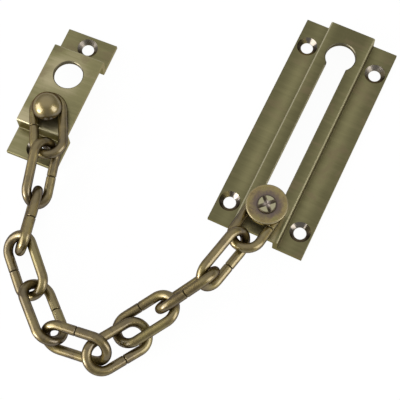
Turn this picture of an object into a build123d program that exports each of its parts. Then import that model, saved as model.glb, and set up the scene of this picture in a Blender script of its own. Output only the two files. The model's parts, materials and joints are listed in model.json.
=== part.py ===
# Door chain: a keyhole track plate with its sliding stud, eleven bent wire links,
# and a raised staple plate with the ball stud that holds the chain's other end.
# Both plates lie on their backs; +Z points out of their fronts, +Y runs up the track
# to its entry hole. The origin is the middle of the track's screw holes, on its back.
import os
from math import asin, atan2, cos, degrees, radians, sin, sqrt, tan

from build123d import *

# Sheet metal of both plates
SHEET = 2.0
OUTER_BEND = 0.8          # worn outer corners of the raised parts
INNER_BEND = 0.4          # inner corners of the bends
EDGE_ROUND = 0.3          # outer edges of the flanges
HOLE_BEVEL = 0.35         # softened front edge of the keyhole and the park hole

# Screw holes
SCREW_HOLE_D = 5.0
COUNTERSINK_D = 8.4

# Track plate
TRACK_HOLES_LONG = 75.4   # hole to hole along the track
TRACK_HOLES_WIDE = 30.2   # hole to hole across the track
TRACK_TOP_MARGIN = 11.6   # upper holes to the upper end
TRACK_FOOT_MARGIN = 10.0  # lower holes to the lower end
TRACK_SIDE_MARGIN = 4.9   # holes to the long edges
CHANNEL_WIDTH = 19.3
CHANNEL_HEIGHT = 8.1
ENTRY_HOLE_D = 12.2
ENTRY_FROM_TOP = 13.5     # entry hole's centre below the upper end
SLOT_WIDTH = 8.4
SLOT_FROM_FOOT = 10.6     # slot's last centre above the lower end

# Stud that slides in the track
NECK_D = 6.2
NECK_PLAY = 0.15          # neck to the slot's end and to the link round it
STUD_ASIDE = 0.5          # share of the slot's play that the loose stud lies to the right
NECK_BEARS = 65           # degrees from the link's crown to where the neck touches it
FOOT_D = 11.2
FOOT_THICK = 2.4
FOOT_PLAY = 0.3           # foot below the channel's inner face
HEAD_D = 16.2
HEAD_THICK = 2.2
HEAD_RIM = 0.9            # rim round the dish
DISH_DEPTH = 0.6
SEAT_MARGIN = 0.4         # flat of the dish round the hammered end
RIM_ROUND = 0.6
TENON_D = 4.6             # reduced end that passes through the head
STAKE_D = 7.2             # hammered end of the tenon
STAKE_HEIGHT = 0.9
STAKE_ROUND = 0.35        # sloping edge of the hammered end
STAKE_CUT_WIDTH = 1.5     # each groove of the cross left by the staking tool

# Chain
WIRE_D = 3.8
LINK_INNER_LENGTH = 21.2
LINK_INNER_WIDTH = 7.6
LINK_PLAY = 0.3           # wire to wire where one link hangs on the next
SEAM_GAP = 0.25           # butt joint of the bent wire
SEAM_BEVEL = 0.2
LIFT_PLAY = 0.3           # link over plate, and wire under the stud's head

# Staple plate and ball stud
STAPLE_WIDTH = 21.7
STAPLE_RAISE = 8.9
STAPLE_TOP_FLANGE = 11.5
STAPLE_RAISED_LENGTH = 36.7
STAPLE_FOOT_FLANGE = 11.6
STAPLE_HOLE_MARGIN = 5.5  # screw holes to the ends
PARK_HOLE_D = 11.8
PARK_FROM_STEP = 10.9     # park hole's centre below the upper step
BALL_FROM_STEP = 7.8      # ball's axis above the lower step
STAPLE_TURN = 2.9         # degrees the plate lies turned to the left
BALL_D = 12.0
BALL_DOME = 5.2           # top of the ball above its widest part
BALL_UNDER = 0.8          # widest part above the flat underside
BALL_NECK_D = 6.2
BALL_PLAY = 0.6           # neck of the ball to the link that hangs loose on it
BALL_TENON_D = 4.8
BALL_RIVET_D = 8.0
BALL_RIVET_THICK = 1.2

# How each link lies, from the stud to the ball: heading, slope and roll in degrees,
# then how far its crown sits beside and above the pull of the chain, in wire
# diameters, and which leg (+1 left, -1 right) carries the seam.
LINKS = {
    "link_11": (-97, 10, 4, 0.0, 0.0, 1),
    "link_10": (-103, 0, -63, -0.3, 0.3, 1),
    "link_09": (-125, -20, 69, 0.05, 0.55, 1),
    "link_08": (-126, -17, 15, 0.2, 0.15, -1),
    "link_07": (-121, 9, -20, 0.85, -0.1, 1),
    "link_06": (-174, -7, -54, -0.7, 0.35, -1),
    "link_05": (139, -7, 35, -0.05, 0.2, -1),
    "link_04": (136, 0, -29, 0.1, -0.05, 1),
    "link_03": (103, 1, -72, -0.5, 0.45, -1),
    "link_02": (105, 10, 55, -0.05, 0.1, -1),
    "link_01": (119, -1, -2, -0.25, -0.05, 1),
}

SAME = 0.01               # heights or radii this close are the same
STEEPEST = 4.0            # degrees by which all slopes may be eased together

# Sizes that follow
CROWN_R = (LINK_INNER_WIDTH + WIRE_D) / 2
LINK_REACH = LINK_INNER_LENGTH + WIRE_D       # crown to crown, on the wire's centre
LINK_HALF = LINK_REACH / 2 - CROWN_R          # link's middle to a crown's centre
LINK_ROOM = (LINK_INNER_WIDTH - NECK_D) / 2 - NECK_PLAY
CROWN_BEHIND_NECK = CROWN_R - LINK_ROOM * cos(radians(NECK_BEARS))
CROWN_BESIDE_NECK = LINK_ROOM * sin(radians(NECK_BEARS))

TRACK_TOP_Y = TRACK_HOLES_LONG / 2 + TRACK_TOP_MARGIN
TRACK_FOOT_Y = -TRACK_HOLES_LONG / 2 - TRACK_FOOT_MARGIN
TRACK_WIDTH = TRACK_HOLES_WIDE + 2 * TRACK_SIDE_MARGIN
ENTRY_Y = TRACK_TOP_Y - ENTRY_FROM_TOP
SLOT_END_Y = TRACK_FOOT_Y + SLOT_FROM_FOOT
SLOT_ROOM = (SLOT_WIDTH - NECK_D) / 2 - NECK_PLAY
STUD_X = SLOT_ROOM * STUD_ASIDE
STUD_Y = SLOT_END_Y - SLOT_ROOM * sqrt(1 - STUD_ASIDE ** 2)

# The first link slopes up from the channel so that the second passes under it
LINK_RISE = degrees(asin((WIRE_D + LINK_PLAY + LIFT_PLAY) / LINK_REACH))
NECK_FREE = (2 * LIFT_PLAY + WIRE_D / 2 * (1 + 1 / cos(radians(LINK_RISE)))
             + (HEAD_D / 2 + CROWN_BEHIND_NECK) * tan(radians(LINK_RISE)))


def countersunk_hole(x, y):
    """Cutter for one screw hole, open to the front of the sheet."""
    land = SHEET - (COUNTERSINK_D - SCREW_HOLE_D) / 2
    cone = Cone(SCREW_HOLE_D / 2, COUNTERSINK_D / 2, SHEET - land,
                align=(Align.CENTER, Align.CENTER, Align.MIN))
    drill = Cylinder(SCREW_HOLE_D / 2, 4 * SHEET)
    return Pos(x, y, 0) * (drill + Pos(0, 0, land) * cone)


def pressed_strip(plane, points, radii, length):
    """A strip of sheet with the given bent outline, drawn along the plane's normal."""
    outline = FilletPolyline(*points, radius=radii, close=True)
    return extrude(plane * make_face(outline), amount=length)


def bevel_front_opening(plate, height, x, y):
    """Soften the front edge of the opening that surrounds the point x, y."""
    front = plate.faces().filter_by(
        lambda f: f.is_planar and abs(f.center().Z - height) < SAME).sort_by(Face.area)[-1]
    rim = min(front.inner_wires(), key=lambda w: (w.bounding_box().center()
                                                  - Vector(x, y, height)).length)
    return chamfer(rim.edges(), HOLE_BEVEL)


# Track plate: hat section, open at both ends and at the back
def make_track_plate():
    outer, wall = TRACK_WIDTH / 2, CHANNEL_WIDTH / 2
    inner, top = wall - SHEET, CHANNEL_HEIGHT
    right = [(inner, 0), (outer, 0), (outer, SHEET), (wall, SHEET), (wall, top)]
    radii = [INNER_BEND, 0, EDGE_ROUND, INNER_BEND, OUTER_BEND]
    points = ([(inner, top - SHEET)] + right
              + [(-x, z) for x, z in reversed(right)] + [(-inner, top - SHEET)])
    radii = [INNER_BEND] + radii + radii[::-1] + [INNER_BEND]
    plane = Plane(origin=(0, TRACK_TOP_Y, 0), x_dir=(1, 0, 0), z_dir=(0, -1, 0))
    plate = pressed_strip(plane, points, radii, TRACK_TOP_Y - TRACK_FOOT_Y)
    slot = Pos(0, (ENTRY_Y + SLOT_END_Y) / 2) * Rectangle(SLOT_WIDTH, ENTRY_Y - SLOT_END_Y)
    keyhole = (slot + Pos(0, ENTRY_Y) * Circle(ENTRY_HOLE_D / 2)
               + Pos(0, SLOT_END_Y) * Circle(SLOT_WIDTH / 2))
    plate -= extrude(keyhole, amount=2 * CHANNEL_HEIGHT)
    for x in (-TRACK_HOLES_WIDE / 2, TRACK_HOLES_WIDE / 2):
        for y in (-TRACK_HOLES_LONG / 2, TRACK_HOLES_LONG / 2):
            plate -= countersunk_hole(x, y)
    return bevel_front_opening(plate, CHANNEL_HEIGHT, 0, (ENTRY_Y + SLOT_END_Y) / 2)


# Stud: foot, neck and staked tenon turned from one bar
def make_stud_post():
    foot_top = CHANNEL_HEIGHT - SHEET - FOOT_PLAY
    shoulder = CHANNEL_HEIGHT + NECK_FREE
    dish = shoulder + HEAD_THICK - DISH_DEPTH
    crown = dish + STAKE_HEIGHT
    with BuildSketch(Plane.XZ) as half:
        with BuildLine():
            Polyline((0, foot_top - FOOT_THICK), (FOOT_D / 2, foot_top - FOOT_THICK),
                     (FOOT_D / 2, foot_top), (NECK_D / 2, foot_top),
                     (NECK_D / 2, shoulder), (TENON_D / 2, shoulder),
                     (TENON_D / 2, dish), (STAKE_D / 2, dish),
                     (STAKE_D / 2, crown - STAKE_ROUND), (STAKE_D / 2 - STAKE_ROUND, crown),
                     (0, crown), (0, foot_top - FOOT_THICK))
        make_face()
    post = revolve(half.sketch, axis=Axis.Z)
    edge = STAKE_CUT_WIDTH / sqrt(2)
    tool = Pos(0, 0, crown) * Rot(45, 0, 0) * Box(STAKE_D * 2, edge, edge)
    for turn in (45, 135):
        post -= Rot(0, 0, turn) * tool
    return Pos(STUD_X, STUD_Y, 0) * post


# Stud head: a dished disc riveted on the tenon
def make_stud_head():
    low = CHANNEL_HEIGHT + NECK_FREE
    top = low + HEAD_THICK
    floor = top - DISH_DEPTH
    dish_r = HEAD_D / 2 - HEAD_RIM
    seat_r = STAKE_D / 2 + SEAT_MARGIN
    with BuildSketch(Plane.XZ) as half:
        with BuildLine():
            Polyline((TENON_D / 2, low), (HEAD_D / 2, low), (HEAD_D / 2, top), (dish_r, top))
            ThreePointArc((dish_r, top),
                          ((dish_r + seat_r) / 2, top - DISH_DEPTH * 3 / 4), (seat_r, floor))
            Polyline((seat_r, floor), (TENON_D / 2, floor), (TENON_D / 2, low))
        make_face()
    head = revolve(half.sketch, axis=Axis.Z)
    rim = head.edges().filter_by(GeomType.CIRCLE).filter_by(
        lambda e: abs(e.radius - HEAD_D / 2) < SAME)
    return Pos(STUD_X, STUD_Y, 0) * fillet(rim, RIM_ROUND)


# One link: round wire bent to a loop, its ends butted on one long leg
def make_link(seam_side):
    start = SEAM_GAP / 2
    y = CROWN_R * seam_side
    path = Wire([
        Edge.make_line((start, y), (LINK_HALF, y)),
        Edge.make_three_point_arc((LINK_HALF, y), (LINK_HALF + CROWN_R, 0), (LINK_HALF, -y)),
        Edge.make_line((LINK_HALF, -y), (-LINK_HALF, -y)),
        Edge.make_three_point_arc((-LINK_HALF, -y), (-LINK_HALF - CROWN_R, 0), (-LINK_HALF, y)),
        Edge.make_line((-LINK_HALF, y), (-start, y)),
    ])
    section = Plane(origin=(start, y, 0), z_dir=(1, 0, 0)) * Circle(WIRE_D / 2)
    wire = sweep(section, path=path)
    ends = wire.edges().filter_by(GeomType.CIRCLE).filter_by(
        lambda e: abs(abs(e.center().X) - start) < SAME)
    return chamfer(ends, SEAM_BEVEL)


def direction(yaw, slope, roll):
    """Axes of a link that lies at these angles: along it, across it, out of its face."""
    a, b, c = radians(yaw), radians(slope), radians(roll)
    along = Vector(cos(b) * cos(a), cos(b) * sin(a), sin(b))
    level = Vector(-sin(a), cos(a), 0)
    across = level * cos(c) + along.cross(level) * sin(c)
    return along, along.cross(across)


LOOP = SlotCenterToCenter(2 * LINK_HALF, 2 * CROWN_R).wire()


def hang(before, along, normal, beside, above):
    """Hang a link on the one before, pulled along the chain until the wires just clear."""
    held = LOOP.moved(before.location)
    pull = (before.x_dir + along).normalized()
    left = Vector(0, 0, 1).cross(pull).normalized()
    rest = (before.origin + before.x_dir * LINK_HALF + along * LINK_HALF
            + left * (beside * WIRE_D) + pull.cross(left) * (above * WIRE_D))

    def laid(reach):
        return Plane(origin=rest + pull * reach, x_dir=along, z_dir=normal)

    def spare(reach):
        return held.distance_to(LOOP.moved(laid(reach).location)) - WIRE_D - LINK_PLAY

    step = WIRE_D / 10
    tries = [2 * CROWN_R - WIRE_D - step * n for n in range(20)]
    near = next((reach for reach in tries if spare(reach) >= 0), None)
    if near is None:
        return laid(max(tries, key=spare))
    far = near + step
    for _ in range(8):
        middle = (near + far) / 2
        near, far = (middle, far) if spare(middle) >= 0 else (near, middle)
    return laid(near)


def lay_chain(ease):
    """Planes of all links, from the stud's neck to the ball's, with one added slope."""
    planes, before = {}, None
    for name, (yaw, slope, roll, beside, above, _) in LINKS.items():
        if before is None:
            along, normal = direction(yaw, LINK_RISE, roll)
            level = Vector(cos(radians(yaw)), sin(radians(yaw)), 0)
            crown = Vector(STUD_X, STUD_Y, CHANNEL_HEIGHT + LIFT_PLAY + WIRE_D / 2)
            crown -= level * CROWN_BEHIND_NECK + level.rotate(Axis.Z, 90) * CROWN_BESIDE_NECK
            before = Plane(origin=crown + along * (LINK_REACH / 2), x_dir=along, z_dir=normal)
        else:
            before = hang(before, *direction(yaw, slope + ease, roll), beside, above)
        planes[name] = before
    return planes


def end_height(planes):
    last = planes["link_01"]
    return (last.origin + last.x_dir * (LINK_REACH / 2)).Z


# The chain ends at the height of the staple plate's raised face
BALL_LINK_Z = STAPLE_RAISE + LIFT_PLAY + WIRE_D / 2
low_ease, high_ease = -STEEPEST, STEEPEST
for _ in range(9):
    ease = (low_ease + high_ease) / 2
    if end_height(lay_chain(ease)) < BALL_LINK_Z:
        low_ease = ease
    else:
        high_ease = ease
CHAIN = lay_chain((low_ease + high_ease) / 2)

last_link = CHAIN["link_01"]
last_level = Vector(last_link.x_dir.X, last_link.x_dir.Y, 0).normalized()
last_crown = last_link.origin + last_link.x_dir * (LINK_REACH / 2)
BALL_CROWN = (BALL_NECK_D + WIRE_D) / 2 + BALL_PLAY
BALL_AXIS = Vector(last_crown.X, last_crown.Y, 0) - last_level * BALL_CROWN
STAPLE = Location((BALL_AXIS.X, BALL_AXIS.Y, 0), (0, 0, STAPLE_TURN))

# The ball's flat underside clears the link round its neck, whichever way the link leans
LINK_LEAN = (abs(last_link.x_dir.Z) * LINK_REACH / 2
             + abs(last_link.z_dir.cross(last_link.x_dir).Z) * CROWN_R)
BALL_LOW_Z = BALL_LINK_Z + WIRE_D / 2 + LIFT_PLAY + LINK_LEAN
BALL_WIDE_Z = BALL_LOW_Z + BALL_UNDER
BALL_TOP_Z = BALL_WIDE_Z + BALL_DOME


# Staple plate, drawn with the ball's axis at its own origin
STEP_FOOT_Y = -BALL_FROM_STEP
STEP_TOP_Y = STEP_FOOT_Y + STAPLE_RAISED_LENGTH
STAPLE_TOP_Y = STEP_TOP_Y + STAPLE_TOP_FLANGE
STAPLE_FOOT_Y = STEP_FOOT_Y - STAPLE_FOOT_FLANGE
PARK_Y = STEP_TOP_Y - PARK_FROM_STEP


def make_staple_plate():
    top = STAPLE_RAISE
    points = [
        (STAPLE_FOOT_Y, 0), (STEP_FOOT_Y + SHEET, 0), (STEP_FOOT_Y + SHEET, top - SHEET),
        (STEP_TOP_Y - SHEET, top - SHEET), (STEP_TOP_Y - SHEET, 0), (STAPLE_TOP_Y, 0),
        (STAPLE_TOP_Y, SHEET), (STEP_TOP_Y, SHEET), (STEP_TOP_Y, top),
        (STEP_FOOT_Y, top), (STEP_FOOT_Y, SHEET), (STAPLE_FOOT_Y, SHEET),
    ]
    radii = [0, INNER_BEND, INNER_BEND, INNER_BEND, INNER_BEND, 0,
             EDGE_ROUND, INNER_BEND, OUTER_BEND, OUTER_BEND, INNER_BEND, EDGE_ROUND]
    plane = Plane(origin=(-STAPLE_WIDTH / 2, 0, 0), x_dir=(0, 1, 0), z_dir=(1, 0, 0))
    plate = pressed_strip(plane, points, radii, STAPLE_WIDTH)
    plate -= Pos(0, PARK_Y, top) * Cylinder(PARK_HOLE_D / 2, 2 * top)
    plate -= Pos(0, 0, top) * Cylinder(BALL_TENON_D / 2, 4 * SHEET)
    for y in (STAPLE_TOP_Y - STAPLE_HOLE_MARGIN, STAPLE_FOOT_Y + STAPLE_HOLE_MARGIN):
        plate -= countersunk_hole(0, y)
    return STAPLE * bevel_front_opening(plate, top, 0, PARK_Y)


# Ball stud: ball with a flat underside, neck and riveted tenon in one piece
def make_ball_stud():
    face = STAPLE_RAISE
    back = face - SHEET
    ball_r, neck_r = BALL_D / 2, BALL_NECK_D / 2
    cap_r = (ball_r ** 2 + BALL_DOME ** 2) / (2 * BALL_DOME)
    cap_z = BALL_TOP_Z - cap_r
    half_way = atan2(ball_r, BALL_WIDE_Z - cap_z) / 2
    under_r = ball_r - BALL_UNDER
    with BuildSketch(Plane.XZ) as half:
        with BuildLine():
            Polyline((0, BALL_TOP_Z), (0, back - BALL_RIVET_THICK),
                     (BALL_RIVET_D / 2 - BALL_RIVET_THICK / 2, back - BALL_RIVET_THICK),
                     (BALL_RIVET_D / 2, back - BALL_RIVET_THICK / 2),
                     (BALL_RIVET_D / 2, back), (BALL_TENON_D / 2, back),
                     (BALL_TENON_D / 2, face), (neck_r, face), (neck_r, BALL_LOW_Z),
                     (under_r, BALL_LOW_Z))
            ThreePointArc((under_r, BALL_LOW_Z),
                          (under_r + BALL_UNDER * sin(radians(45)),
                           BALL_WIDE_Z - BALL_UNDER * cos(radians(45))), (ball_r, BALL_WIDE_Z))
            ThreePointArc((ball_r, BALL_WIDE_Z),
                          (cap_r * sin(half_way), cap_z + cap_r * cos(half_way)),
                          (0, BALL_TOP_Z))
        make_face()
    return STAPLE * revolve(half.sketch, axis=Axis.Z)


def main():
    os.makedirs("parts", exist_ok=True)
    parts = {
        "track_plate": make_track_plate(),
        "stud_post": make_stud_post(),
        "stud_head": make_stud_head(),
        "staple_plate": make_staple_plate(),
        "ball_stud": make_ball_stud(),
    }
    for name, plane in CHAIN.items():
        parts[name] = plane.location * make_link(LINKS[name][5])
    for name, part in parts.items():
        export_step(part, f"parts/{name}.step")


main()
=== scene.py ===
"""A brass door chain, laid out on a white table and finished as antique brass."""
import json
from math import radians

import bpy
from bpy.props import FloatProperty, FloatVectorProperty, PointerProperty
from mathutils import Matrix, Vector


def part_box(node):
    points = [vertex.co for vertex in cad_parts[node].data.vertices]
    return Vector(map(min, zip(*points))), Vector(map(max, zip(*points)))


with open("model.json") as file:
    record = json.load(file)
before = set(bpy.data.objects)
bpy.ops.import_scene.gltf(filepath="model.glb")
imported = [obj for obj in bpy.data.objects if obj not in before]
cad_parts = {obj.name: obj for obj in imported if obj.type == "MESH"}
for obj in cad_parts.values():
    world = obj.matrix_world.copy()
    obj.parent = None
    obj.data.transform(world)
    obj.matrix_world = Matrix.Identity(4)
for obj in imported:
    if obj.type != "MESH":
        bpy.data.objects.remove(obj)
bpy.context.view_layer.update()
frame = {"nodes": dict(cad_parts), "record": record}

bl_info = {
    "name": "Door Chain Finishes",
    "version": (1, 0, 0),
    "blender": (4, 5, 0),
    "location": "3D View > Sidebar > Door Chain",
    "description": "Finishes a packed door chain in antique brass and lights it on a table",
    "category": "Object",
}

MM = 0.001
NODES = frame["nodes"]
MOUNTS = {m["name"]: m for m in frame["record"]["mounts"]}
OPENINGS = {o["name"]: o["box_m"] for o in frame["record"]["physics"]["openings"]}
LINKS = sorted(n for n in NODES if n.startswith("link_"))

# Colour sockets of the Mix node, whose names are shared by its other kinds
MIX_FIRST, MIX_SECOND, MIX_RESULT = 6, 7, 2

# Places on the object, in mm
CONE_R = 4.4             # just past a countersink's radius
OPENING_R = 7.5          # just past the large holes' bevel
FLANGE_TOP = 2.0         # height of the flanges
SOFT = 0.1               # half the width of a mask's soft edge
BEND_DEPTH = 1.6         # how far the raised face's bends reach down
RIM = 0.9                # width of the head's worn rim
HEART_R = 2.0            # radius of the mauve middle of the hammered cross
ARM_START = 0.6          # where the light flats of the cross begin
RING_RATE = 20.0         # radians of the turned rings per mm

# The stage, in metres
TABLE_HALF = 3.0
TABLE_DROP = 0.0002      # table below the object, so that they don't coincide
MIDDLE = (-0.04, -0.02, 0.0)
LAMP_AWAY = 0.85
LAMP_COLOUR = (1.0, 0.98, 0.95)
SKY_COLOUR = (1.0, 0.99, 0.97)
KEY_SIZE = (0.90, 0.52)
SPARK_SIZE = (0.24, 0.18)
SIDE_SIZE = (0.45, 0.80)
SENSOR_WIDTH = 36.0      # mm


# Settings
def colour(name, description, default):
    return FloatVectorProperty(name=name, description=description, subtype="COLOR",
                               size=3, min=0.0, max=1.0, default=default)


def length(name, description, default):
    return FloatProperty(name=name, description=description, unit="LENGTH",
                         subtype="DISTANCE", min=0.0, default=default)


def share(name, description, default):
    return FloatProperty(name=name, description=description, subtype="FACTOR",
                         min=0.0, max=1.0, default=default)


def direction(name, description, default):
    return FloatVectorProperty(name=name, description=description, subtype="DIRECTION",
                               size=3, default=default)


class PlateSettings(bpy.types.PropertyGroup):
    """Finish of the pressed plates."""
    # Also used as painted light: below the ball, at the track's foot end and on the walls facing
    # right
    polished: colour("Polished", "Lightest tone of the rubbed flats", (0.470, 0.415, 0.265))
    brass: colour("Brass", "Olive tone of the brushed flats", (0.235, 0.217, 0.110))
    patina: colour("Patina", "Darker tone towards the ends and edges", (0.112, 0.103, 0.051))
    # Partly wear, partly a painted highlight along the raised faces' outer bends
    worn: colour("Worn brass", "Lighter tone where the bends are rubbed", (0.50, 0.465, 0.325))
    stain: colour("Stain", "Warm brown of the stained spots", (0.170, 0.128, 0.078))
    cut: colour("Cut edge", "Grey brown tone of the large holes' edges",
                (0.085, 0.076, 0.055))
    bare: colour("Bare metal", "Tone of the cut countersinks", (0.215, 0.192, 0.165))
    # Painted shade in the inner bends and on the countersinks' lower sides
    painted_shade: colour("Soot", "Dark tone low in the countersinks", (0.045, 0.034, 0.024))
    grain: length("Grain", "Width of one brush line", 0.00035)
    cloud: length("Clouds", "Size of the clouds in the patina", 0.009)
    roughness: share("Roughness", "Roughness of the brushed flats", 0.36)


class WireSettings(bpy.types.PropertyGroup):
    """Finish of the chain's links."""
    brass: colour("Brass", "Golden tone of the rubbed wire", (0.228, 0.172, 0.052))
    # Also painted as shade on the wire's sides
    patina: colour("Patina", "Brown tone of the worn-in patina", (0.082, 0.056, 0.020))
    olive: colour("Olive", "Yellow green tone of the worn places", (0.185, 0.155, 0.048))
    spots: length("Spots", "Size of the patina's clouds", 0.005)
    roughness: share("Roughness", "Roughness of the drawn wire", 0.40)
    lacquer: share("Lacquer", "Amount of clear lacquer over the wire", 0.7)


class StudSettings(bpy.types.PropertyGroup):
    """Finish of the turned studs."""
    brass: colour("Brass", "Golden tone of the post and the ball", (0.195, 0.146, 0.043))
    # On the ball it also serves as painted shade at its sides and underneath
    patina: colour("Patina", "Brown patina of head, post and ball", (0.085, 0.060, 0.024))
    # Partly wear, partly a painted highlight on the head's rounded edge
    rim: colour("Rim", "Light tone of the head's rubbed edge", (0.30, 0.26, 0.16))
    ring: colour("Ring", "Olive brown tone inside the head's rim", (0.285, 0.225, 0.105))
    olive: colour("Olive", "Yellow green spots in the ring", (0.210, 0.200, 0.075))
    dish: colour("Dish", "Purple brown tone in the head's dish", (0.130, 0.100, 0.088))
    stake: colour("Staked end", "Light tone of the hammered end", (0.36, 0.34, 0.22))
    # Painted shade on the sloped faces of the hammered cross
    groove_shade: colour("Groove", "Dark tone in the arms of the hammered cross",
                   (0.120, 0.100, 0.072))
    heart: colour("Heart", "Mauve tone in the middle of the cross", (0.420, 0.370, 0.340))
    seat: colour("Seat", "Dark tone round the hammered end", (0.060, 0.048, 0.042))
    roughness: share("Roughness", "Roughness of the turned faces", 0.24)
    lacquer: share("Lacquer", "Amount of clear lacquer over the ball", 0.85)


class StageSettings(bpy.types.PropertyGroup):
    """Table, lamps and camera."""
    table: colour("Table", "Colour of the table top", (1.0, 1.0, 1.0))
    sky: share("Sky", "Level of the light from straight above", 1.0)
    rest: share("Rest", "Level of the light from all other sides", 0.42)
    shadow: share("Shadow", "How much of the object's shadow shows on the table", 0.04)
    overhead: direction("Overhead", "Middle of the light from above", (-0.18, 0.32, 0.93))
    key: FloatProperty(name="Key", description="Power of the large front lamp",
                       unit="POWER", min=0.0, default=6.8)
    spark: FloatProperty(name="Spark", description="Power of the small bright lamp",
                         unit="POWER", min=0.0, default=3.2)
    side: FloatProperty(name="Side", description="Power of the lamp on the right",
                        unit="POWER", min=0.0, default=4.7)
    key_from: direction("Key from", "Where the large lamp stands", (-0.651, -0.651, 0.391))
    spark_from: direction("Spark from", "Where the small bright lamp stands",
                          (-0.560, -0.810, 0.170))
    side_from: direction("Side from", "Where the lamp on the right stands", (0.940, -0.030, 0.335))
    place: FloatVectorProperty(name="Place", description="Where the camera stands",
                               subtype="TRANSLATION", unit="LENGTH", size=3,
                               default=(0.04952, -0.18057, 0.41998))
    turn: FloatVectorProperty(name="Turn", description="How the camera is turned",
                              subtype="EULER", unit="ROTATION", size=3,
                              default=(radians(20.615), radians(1.113), radians(25.631)))
    lens: FloatProperty(name="Lens", description="Focal length on a 36 mm sensor",
                        unit="CAMERA", min=1.0, default=102.32)


class DoorChainSettings(bpy.types.PropertyGroup):
    """All settings of the door chain."""
    plate: PointerProperty(type=PlateSettings)
    wire: PointerProperty(type=WireSettings)
    stud: PointerProperty(type=StudSettings)
    stage: PointerProperty(type=StageSettings)


# Shader maths
class Tone:
    """One socket of a shader tree that can be used in sums."""

    def __init__(self, shop, socket):
        self.shop, self.socket = shop, socket

    def _math(self, operation, *values):
        return self.shop.node("ShaderNodeMath", {"operation": operation},
                              dict(enumerate(values)))

    def __add__(self, other):
        return self._math("ADD", self, other)

    def __sub__(self, other):
        return self._math("SUBTRACT", self, other)

    def __rsub__(self, other):
        return self._math("SUBTRACT", other, self)

    def __mul__(self, other):
        return self._math("MULTIPLY", self, other)

    __radd__, __rmul__ = __add__, __mul__

    def __abs__(self):
        return self._math("ABSOLUTE", self)

    def __pow__(self, other):
        return self._math("POWER", self, other)

    def wave(self):
        """Its sine."""
        return self._math("SINE", self)

    def low(self, other):
        return self._math("MINIMUM", self, other)

    def high(self, other):
        return self._math("MAXIMUM", self, other)

    def ramp(self, start, end):
        """0 before start, 1 after end, smooth between; start may be the larger."""
        return self.shop.node("ShaderNodeMapRange", {"interpolation_type": "SMOOTHSTEP"},
                              {"Value": self, "From Min": start, "From Max": end})

    def stripe(self, start, end, soft):
        """1 between start and end, 0 outside, over a soft edge."""
        return self.ramp(start - soft, start + soft) * self.ramp(end + soft, end - soft)


class Shop:
    """Builds the nodes of one shader tree."""

    def __init__(self, tree):
        self.tree = tree
        tree.nodes.clear()

    def make(self, kind, settings=None, values=None):
        """A node of that kind, with its settings, then the values or links of its sockets."""
        made = self.tree.nodes.new(kind)
        for key, value in (settings or {}).items():
            setattr(made, key, value)
        for key, value in (values or {}).items():
            self.feed(made.inputs[key], value)
        return made

    def node(self, kind, settings=None, values=None, output=0):
        """One output of a new node."""
        return Tone(self, self.make(kind, settings, values).outputs[output])

    def feed(self, socket, value):
        """Give a socket its link, number, vector or colour."""
        if isinstance(value, Tone):
            self.tree.links.new(value.socket, socket)
        elif isinstance(value, (int, float)):
            socket.default_value = value
        else:
            value = list(value)
            if socket.type == "RGBA" and len(value) == 3:
                value.append(1.0)
            socket.default_value = value

    def split(self, vector):
        """The vector's x, y and z."""
        made = self.make("ShaderNodeSeparateXYZ", {}, {0: vector})
        return [Tone(self, socket) for socket in made.outputs]

    def vector(self, operation, first, second):
        output = "Value" if operation == "DOT_PRODUCT" else "Vector"
        return self.node("ShaderNodeVectorMath", {"operation": operation},
                         {0: first, 1: second}, output)

    def rays(self, *names):
        """1 for light paths of any of those kinds."""
        paths = self.make("ShaderNodeLightPath")
        found = None
        for name in names:
            ray = Tone(self, paths.outputs[name])
            found = ray if found is None else found.high(ray)
        return found


class Finish(Shop):
    """A finish: one Principled shader with all that feeds it. Places on it are in mm."""

    def __init__(self, name):
        self.material = bpy.data.materials.new(name)
        self.material.use_nodes = True
        super().__init__(self.material.node_tree)
        self.shader = self.make("ShaderNodeBsdfPrincipled")
        self.surface = Tone(self, self.shader.outputs["BSDF"])
        self.output = self.make("ShaderNodeOutputMaterial", {}, {"Surface": self.surface})

    def place(self):
        """Place on the object."""
        metres = self.node("ShaderNodeTexCoord", output="Object")
        return self.vector("MULTIPLY", metres, [1.0 / MM] * 3)

    def facing(self):
        """Which way the surface faces, as x, y and z."""
        return self.split(self.node("ShaderNodeTexCoord", output="Normal"))

    def ruler(self, start, way):
        """How far a place lies from start, given in metres, along that way."""
        away = self.vector("SUBTRACT", self.place(), [c / MM for c in start])
        return self.vector("DOT_PRODUCT", away, way)

    def from_axis(self, point):
        """Distance from the upright line through that point, given in metres."""
        away = self.vector("SUBTRACT", self.place(), [c / MM for c in point])
        x, y, _ = self.split(away)
        return (x * x + y * y) ** 0.5

    def noise(self, place, size, detail=3.0, rough=0.55, warp=0.0):
        """Noise with spots of about that size, in the place's own unit."""
        return self.node("ShaderNodeTexNoise", {}, {
            "Vector": place, "Scale": 1.0 / size, "Detail": detail, "Roughness": rough,
            "Distortion": warp})

    def blend(self, share, first, second):
        """A colour from first at 0 to second at 1."""
        return self.node("ShaderNodeMix", {"data_type": "RGBA"},
                         {0: share, MIX_FIRST: first, MIX_SECOND: second}, MIX_RESULT)

    def bump(self, height, strength, distance):
        """A normal from that height; distance is in metres."""
        return self.node("ShaderNodeBump", {}, {
            "Strength": strength, "Distance": distance, "Height": height})

    def lacquer(self, amount):
        """Clear lacquer that thins out where the surface turns away."""
        edge = self.node("ShaderNodeLayerWeight", {}, {"Blend": 0.5}, "Facing")
        return amount * edge.ramp(0.85, 0.35)

    def finish(self, **sockets):
        """Feed the shader, with _ for each space in a socket's name."""
        for name, value in sockets.items():
            self.feed(self.shader.inputs[name.replace("_", " ")], value)
        return self.material


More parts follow.
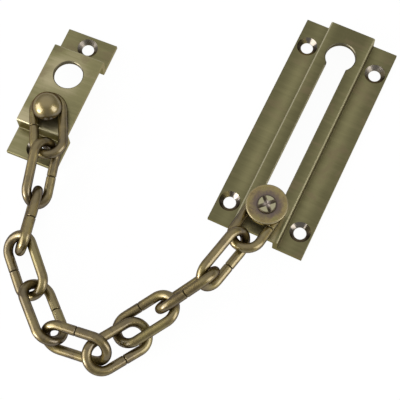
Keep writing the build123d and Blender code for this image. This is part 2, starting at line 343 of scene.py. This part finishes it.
# Finishes
class Plate:
    """A plate's middle line and holes in metres, and the height of its raised face in mm."""

    def __init__(self, name, foot, top, holes, opening, face):
        self.name, self.holes, self.face = name, holes, face
        low, high = OPENINGS[opening]
        self.opening = (Vector(low) + Vector(high)) / 2
        self.foot, self.top = Vector(foot), Vector(top)
        self.along = (self.top - self.foot).normalized()
        self.across = self.along.cross(Vector((0, 0, 1)))

    def length(self):
        """From foot to top."""
        return (self.top - self.foot).length / MM


def brushed_plate(plate, settings, polish_and_painted_light, streaks=1.0, rub=1.0):
    """Sheet brass brushed across; polish makes a mask of the flats' tone, painted highlights and
    lifted shade included, from where a place lies.
    """
    f = Finish(plate.name)
    grain, size = settings.grain / MM, settings.cloud / MM
    x, y, z = f.facing()
    height = f.split(f.place())[2]
    across = f.ruler(plate.foot, plate.across)
    along = f.ruler(plate.foot, plate.along)

    # Brushed flats with clouds and stained spots
    lines = f.node("ShaderNodeCombineXYZ", {}, {0: across * 0.05, 1: along, 2: height})
    fine = f.noise(lines, grain, detail=2.0)
    broad = f.noise(lines, grain * 5, detail=3.0)
    cloud = f.noise(f.place(), size, detail=4.0, rough=0.6, warp=0.6)
    # The polish mask also paints highlights and lifted shade into the tone
    tone = polish_and_painted_light(across, along, height) + (fine - 0.5) * (0.25 * streaks)
    tone = tone + (broad - 0.5) * (0.45 * streaks) + (cloud - 0.5) * 0.35
    base = f.blend(tone.ramp(-0.05, 1.05), settings.patina, settings.brass)
    base = f.blend((tone - 1.0).low(1.0).high(0.0), base, settings.polished)
    stain = (cloud + (broad - 0.5) * 0.3).ramp(0.52, 0.70) * 0.45
    base = f.blend(stain, base, settings.stain)

    # Walls; painted shade in the inner bends; outer bends lighter, partly from wear and partly as
    # a painted highlight; walls facing right lightened as painted light
    raised = height.ramp(plate.face - BEND_DEPTH, plate.face - BEND_DEPTH + 0.4)
    wall = z.stripe(-0.30, 0.20, 0.15)
    round_edge = z.stripe(0.20, 0.97, 0.03)
    right = (x * plate.across.x + y * plate.across.y).ramp(0.0, 0.4)
    bend = round_edge * raised
    # Painted shade in the inner bends at the foot of the walls
    crease_shade = round_edge * (1.0 - raised) * height.ramp(FLANGE_TOP - SOFT, FLANGE_TOP + 2 * SOFT)
    base = f.blend(wall * 0.5, base, settings.brass)
    base = f.blend(crease_shade * 0.8, base, settings.painted_shade)
    # Painted light: the walls facing right are lightened
    base = f.blend(wall * right * 0.5, base, settings.polished)
    # Outer bends lighter: partly wear, partly a painted highlight, weaker on the bends facing
    # right
    rubbed = bend * (1.0 - right * 0.62) * (0.55 + cloud * 0.6) * rub
    base = f.blend(rubbed.low(0.95), base, settings.worn)

    # Cut edge of the large hole
    cut = f.from_axis(plate.opening).ramp(OPENING_R + SOFT, OPENING_R - 2 * SOFT)
    cut = (wall + round_edge * 0.88).low(1.0) * cut
    base = f.blend(cut, base, settings.cut)

    # Countersinks, bare above and with painted shade on their lower sides; the last one is duller
    spots = [f.from_axis(hole).ramp(CONE_R + SOFT, CONE_R - SOFT) for hole in plate.holes]
    cone, dull = spots[0], spots[-1]
    for spot in spots[1:]:
        cone = cone.high(spot)
    cone = cone * z.stripe(0.55, 0.85, 0.05)
    base = f.blend(cone, base, settings.bare)
    # Painted shade on the lower sides of the countersinks
    base = f.blend(cone * (y * 0.94 - x * 0.34).ramp(-0.05, 0.30) * 0.85, base, settings.painted_shade)

    # Hidden back
    base = f.blend(z.ramp(0.1, -0.3) * 0.5, base, settings.patina)

    rough = settings.roughness + (fine - 0.5) * 0.16 + (cloud - 0.5) * 0.12
    rough = rough + right * bend * 0.2 + crease_shade * 0.3 - cone * 0.16 + dull * 0.2
    return f.finish(
        Base_Color=base, Metallic=1.0, Roughness=rough,
        Normal=f.bump(fine + broad * 0.6, 0.15, 0.00004), Specular_Tint=[0.55, 0.5, 0.4, 1.0])


def drawn_wire(name, settings):
    """Drawn wire, lighter on top and brown at its sides and in its hooks, partly from wear and
    partly as painted shade.
    """
    f = Finish(name)
    z = f.facing()[2]
    spots = settings.spots / MM
    drift = f.noise(f.place(), spots * 5, detail=1.0)
    cloud = f.noise(f.place(), spots, detail=4.0, rough=0.6, warp=0.8)
    speck = f.noise(f.place(), spots / 12, detail=3.0)
    rubbed = (cloud - 0.5) * 1.2 + (drift - 0.5) * 1.4 + (speck - 0.5) * 0.3
    # Lighter on top, browner at the sides: partly wear, partly painted shade
    rubbed = (0.36 + rubbed + z.ramp(0.2, 0.9) * 0.20).ramp(0.0, 1.0)
    base = f.blend(rubbed, settings.patina, settings.brass)
    base = f.blend((drift + (cloud - 0.5) * 0.6).ramp(0.48, 0.64) * 0.6, base, settings.olive)
    rough = settings.roughness + (cloud - 0.5) * 0.16 + (speck - 0.5) * 0.08
    return f.finish(Base_Color=base, Metallic=1.0, Roughness=rough,
                    Normal=f.bump(speck + cloud * 0.5, 0.10, 0.00008),
                    Specular_Tint=[0.20, 0.15, 0.10, 1.0],
                    Coat_Weight=f.lacquer(settings.lacquer), Coat_Roughness=0.20,
                    Coat_IOR=1.75)


def dished_head(settings, axis, head_r):
    """The stud's head: light rim, partly wear and partly a painted highlight, olive ring and
    purple brown dish.
    """
    f = Finish("dished_head")
    z = f.facing()[2]
    away = f.from_axis(axis)
    cloud = f.noise(f.place(), 3.5, detail=4.0, rough=0.6, warp=0.8)
    base = f.blend(cloud.ramp(0.0, 0.6), settings.patina, settings.ring)
    base = f.blend(cloud.ramp(0.48, 0.66) * 0.6, base, settings.olive)
    speck = f.noise(f.place(), 0.7, detail=2.0)
    dish = (away + (cloud - 0.5) * 3.0 + (speck - 0.5) * 2.5).ramp(head_r * 0.92, head_r * 0.48)
    dish = dish * z.ramp(0.5, 0.9)
    base = f.blend(dish, base, settings.dish)
    shade = away.ramp(head_r * 0.52, head_r * 0.46) * 0.7
    base = f.blend(shade, base, settings.seat)
    # Light rounded rim: partly wear, partly a painted highlight
    rim = z.stripe(0.25, 0.97, 0.05) * away.ramp(head_r - RIM, head_r - RIM + 0.4)
    base = f.blend(rim * 0.85, base, settings.rim)
    rings = (away * RING_RATE).wave()
    rough = settings.roughness + dish * 0.10 + rim * 0.28 + (cloud - 0.5) * 0.12
    return f.finish(Base_Color=base, Metallic=1.0, Roughness=rough,
                    Normal=f.bump(rings * 0.5 + cloud, 0.10, 0.00006),
                    Specular_Tint=[0.5, 0.45, 0.35, 1.0])


def staked_post(settings, axis, stake_r):
    """The stud's post: light hammered end with painted shade in its grooves."""
    f = Finish("staked_post")
    z = f.facing()[2]
    away = f.from_axis(axis)
    cloud = f.noise(f.place(), 2.5, detail=4.0, rough=0.6, warp=0.6)
    base = f.blend(cloud.ramp(0.25, 0.75), settings.patina, settings.brass)
    # The hammered end's sloped faces get painted shade; its flats stay light
    end = away.ramp(stake_r + 0.3, stake_r) * z.ramp(0.2, 0.5)
    base = f.blend(end, base, settings.groove_shade)
    base = f.blend(away.ramp(HEART_R, HEART_R - 1.3) * 0.9, base, settings.heart)
    flat = z.ramp(0.78, 0.92)
    base = f.blend(end * flat * away.ramp(ARM_START, ARM_START + 1.1), base, settings.stake)
    return f.finish(Base_Color=base, Metallic=1.0,
                    Roughness=settings.roughness + 0.42 - flat * 0.34 + (cloud - 0.5) * 0.14,
                    Normal=f.bump(cloud, 0.20, 0.00010), Specular_Tint=[0.5, 0.45, 0.35, 1.0])


def polished_ball(settings):
    """The ball stud: smooth and polished, lighter on top and browner at its sides and underneath,
    partly patina and partly painted shade.
    """
    f = Finish("polished_ball")
    z = f.facing()[2]
    cloud = f.noise(f.place(), 3.5, detail=4.0, rough=0.6, warp=0.6)
    # Lighter on top, browner at the sides and underneath: partly patina, partly painted shade
    top = (z.ramp(-0.1, 0.85) + (cloud - 0.5) * 0.5).low(1.0)
    base = f.blend(top, settings.patina, settings.brass)
    return f.finish(Base_Color=base, Metallic=1.0,
                    Roughness=settings.roughness + 0.12 + (cloud - 0.5) * 0.08,
                    Normal=f.bump(cloud, 0.06, 0.00008), Specular_Tint=[0.25, 0.2, 0.15, 1.0],
                    Coat_Weight=f.lacquer(settings.lacquer), Coat_Roughness=0.18, Coat_IOR=1.8)


def dress(node, material):
    """Give a node its finish."""
    piece = NODES[node]
    piece.data.materials.clear()
    piece.data.materials.append(material)


# Operators
class FinishPlates(bpy.types.Operator):
    """Finish the track plate and the staple plate in brushed brass"""
    bl_idname = "door_chain.finish_plates"
    bl_label = "Finish the Plates"

    def execute(self, context):
        settings = context.scene.door_chain.plate
        dress("track_plate", self.track(settings))
        dress("staple_plate", self.staple(settings))
        return {"FINISHED"}

    def track(self, settings):
        """Flanges with a lighter band between the screws, a painted sheen of the brushed metal; a
        darker raised face with painted highlights at its edges and a lighter foot end.
        """
        sizes = MOUNTS["track_screws"]["dims"]
        wide, long = sizes["spacing_x_mm"] / 2 * MM, sizes["spacing_y_mm"] / 2 * MM
        holes = [(x, y, 0) for x in (-wide, wide) for y in (-long, long)]
        low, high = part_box("track_plate")
        face, edge = high.z / MM, (high.x - low.x) / 2 / MM
        plate = Plate("brushed_track", (0, -long, 0), (0, long, 0), holes, "entry_hole", face)

        def polish_and_painted_light(across, along, height):
            out = abs(across)
            middle = along.stripe(6, plate.length() - 6, 8)
            # Lighter band along the middle of the flanges: a painted sheen of the brushed metal
            band = out.stripe(edge - 8.5, edge - 4.5, 3.2)
            flange = 0.22 + band * (0.28 + middle * 0.26)
            # Raised face lighter towards its edges, ending in a painted highlight next to the
            # bends
            raised = 0.08 + out.ramp(4.5, 9.8) * 0.45 + out.ramp(9.0, 9.8) * 0.6
            # Lighter at the foot end: partly wear where the link rubs, partly painted light that
            # lifts the shade under the stud's head
            raised = raised + along.ramp(7, 1) * out.ramp(9.0, 7.5) * 1.2
            return flange + height.ramp(face - 1.5, face - 0.5) * (raised - flange)

        return brushed_plate(plate, settings, polish_and_painted_light)

    def staple(self, settings):
        """Raised face polished above the ball, browner round it, and lightened below it as painted
        light where the ball's shade falls.
        """
        holes = [MOUNTS[n]["pos_m"] for n in ("staple_screw_foot", "staple_screw_top")]
        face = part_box("staple_plate")[1].z / MM
        plate = Plate("brushed_staple", holes[0], holes[1], holes, "park_hole", face)
        low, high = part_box("ball_stud")
        ball = (low + high) / 2
        ball_at = (ball - plate.foot).dot(plate.along) / MM

        def polish_and_painted_light(across, along, height):
            above = along.ramp(ball_at + 5, ball_at + 13)
            left = across.ramp(-2, -8)
            middle = across.stripe(-7.5, 5.5, 3.5)
            corner = along.ramp(ball_at + 22, ball_at + 27)
            raised = 0.75 + above * middle * 0.75 + left * 0.25 + above * (1.0 - middle) * 0.25
            raised = raised - corner * (0.3 + left * 0.5)
            # Lighter below the ball: painted light that lifts the ball's shade
            raised = raised + along.ramp(ball_at + 1, ball_at - 5) * 0.8
            flange = 0.95 + left * 0.2 - along.ramp(ball_at + 10, ball_at + 38) * 0.45
            return flange + height.ramp(5.0, 8.0) * (raised - flange)

        return brushed_plate(plate, settings, polish_and_painted_light, streaks=2.0, rub=0.55)


class FinishStud(bpy.types.Operator):
    """Finish the sliding stud and its dished head"""
    bl_idname = "door_chain.finish_stud"
    bl_label = "Finish the Stud"

    def execute(self, context):
        settings = context.scene.door_chain.stud
        low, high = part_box("stud_head")
        axis, head_r = (low + high) / 2, (high.x - low.x) / 2 / MM
        dress("stud_head", dished_head(settings, axis, head_r))
        dress("stud_post", staked_post(settings, axis, head_r * 0.45))
        return {"FINISHED"}


class FinishChain(bpy.types.Operator):
    """Finish the wire links of the chain"""
    bl_idname = "door_chain.finish_chain"
    bl_label = "Finish the Chain"

    def execute(self, context):
        wire = drawn_wire("drawn_wire", context.scene.door_chain.wire)
        for link in LINKS:
            dress(link, wire)
        return {"FINISHED"}


class FinishBall(bpy.types.Operator):
    """Finish the ball stud of the staple plate"""
    bl_idname = "door_chain.finish_ball"
    bl_label = "Finish the Ball Stud"

    def execute(self, context):
        dress("ball_stud", polished_ball(context.scene.door_chain.stud))
        return {"FINISHED"}


class SetStage(bpy.types.Operator):
    """Lay the table, hang the lamps and set up the camera"""
    bl_idname = "door_chain.set_stage"
    bl_label = "Set the Stage"

    def execute(self, context):
        settings = context.scene.door_chain.stage
        self.lay_table(settings)
        self.light_sky(context.scene, settings)
        self.hang_lamp("key_lamp", settings.key, settings.key_from, KEY_SIZE)
        self.hang_lamp("spark_lamp", settings.spark, settings.spark_from, SPARK_SIZE)
        self.hang_lamp("side_lamp", settings.side, settings.side_from, SIDE_SIZE)
        self.set_camera(context.scene, settings)
        context.scene.view_settings.view_transform = "Standard"
        return {"FINISHED"}

    def lay_table(self, settings):
        """A white table top that keeps part of the shadow that falls on it."""
        mesh = bpy.data.meshes.new("table_top")
        half = TABLE_HALF
        mesh.from_pydata([(-half, -half, 0), (half, -half, 0), (half, half, 0),
                          (-half, half, 0)], [], [(0, 1, 2, 3)])
        table = bpy.data.objects.new("table_top", mesh)
        bpy.context.scene.collection.objects.link(table)
        table.location.z = -TABLE_DROP
        f = Finish("white_table")
        f.finish(Base_Color=settings.table, Roughness=0.7)
        seen = f.rays("Is Camera Ray", "Is Glossy Ray", "Is Transmission Ray")
        white = f.node("ShaderNodeEmission", {}, {"Color": settings.table, "Strength": 1.0})
        both = f.node("ShaderNodeMixShader", {}, {
            0: seen * (1.0 - settings.shadow), 1: f.surface, 2: white})
        f.feed(f.output.inputs["Surface"], both)
        mesh.materials.append(f.material)

    def light_sky(self, scene, settings):
        """Soft light from above, weaker towards all sides."""
        world = bpy.data.worlds.new("studio")
        world.use_nodes = True
        scene.world = world
        sky = Shop(world.node_tree)
        way = sky.node("ShaderNodeTexCoord", output="Generated")
        middle = Vector(settings.overhead).normalized()
        near = sky.vector("DOT_PRODUCT", way, middle)
        level = settings.rest + near.ramp(0.45, 0.90) * (settings.sky - settings.rest)
        light = sky.node("ShaderNodeBackground", {}, {"Color": SKY_COLOUR, "Strength": level})
        sky.make("ShaderNodeOutputWorld", {}, {"Surface": light})

    def hang_lamp(self, name, power, way, size):
        """A soft rectangular lamp that looks at the middle of the object."""
        lamp = bpy.data.lights.new(name, "AREA")
        lamp.shape = "RECTANGLE"
        lamp.size, lamp.size_y = size
        lamp.energy = power
        lamp.color = LAMP_COLOUR
        holder = bpy.data.objects.new(name, lamp)
        away = Vector(way).normalized()
        holder.location = Vector(MIDDLE) + away * LAMP_AWAY
        holder.rotation_euler = away.to_track_quat("Z", "Y").to_euler()
        bpy.context.scene.collection.objects.link(holder)

    def set_camera(self, scene, settings):
        """The camera stands where the photo's camera stood."""
        camera = bpy.data.cameras.new("camera")
        camera.lens = settings.lens
        camera.sensor_width = SENSOR_WIDTH
        camera.clip_start = 0.01
        holder = bpy.data.objects.new("camera", camera)
        holder.location = settings.place
        holder.rotation_euler = settings.turn
        scene.collection.objects.link(holder)
        scene.camera = holder


STEPS = (FinishPlates, FinishStud, FinishChain, FinishBall, SetStage)


class DoorChainPanel(bpy.types.Panel):
    """Lists the steps that finish the door chain."""
    bl_idname = "VIEW3D_PT_door_chain"
    bl_label = "Door Chain"
    bl_space_type = "VIEW_3D"
    bl_region_type = "UI"
    bl_category = "Door Chain"

    def draw(self, context):
        for step in STEPS:
            self.layout.operator(step.bl_idname)


CLASSES = (PlateSettings, WireSettings, StudSettings, StageSettings, DoorChainSettings,
           *STEPS, DoorChainPanel)


def register():
    for item in CLASSES:
        bpy.utils.register_class(item)
    bpy.types.Scene.door_chain = PointerProperty(type=DoorChainSettings)


def unregister():
    del bpy.types.Scene.door_chain
    for item in reversed(CLASSES):
        bpy.utils.unregister_class(item)


def main():
    register()
    for step in STEPS:
        group, name = step.bl_idname.split(".")
        getattr(getattr(bpy.ops, group), name)()


if __name__ == "__main__":
    main()
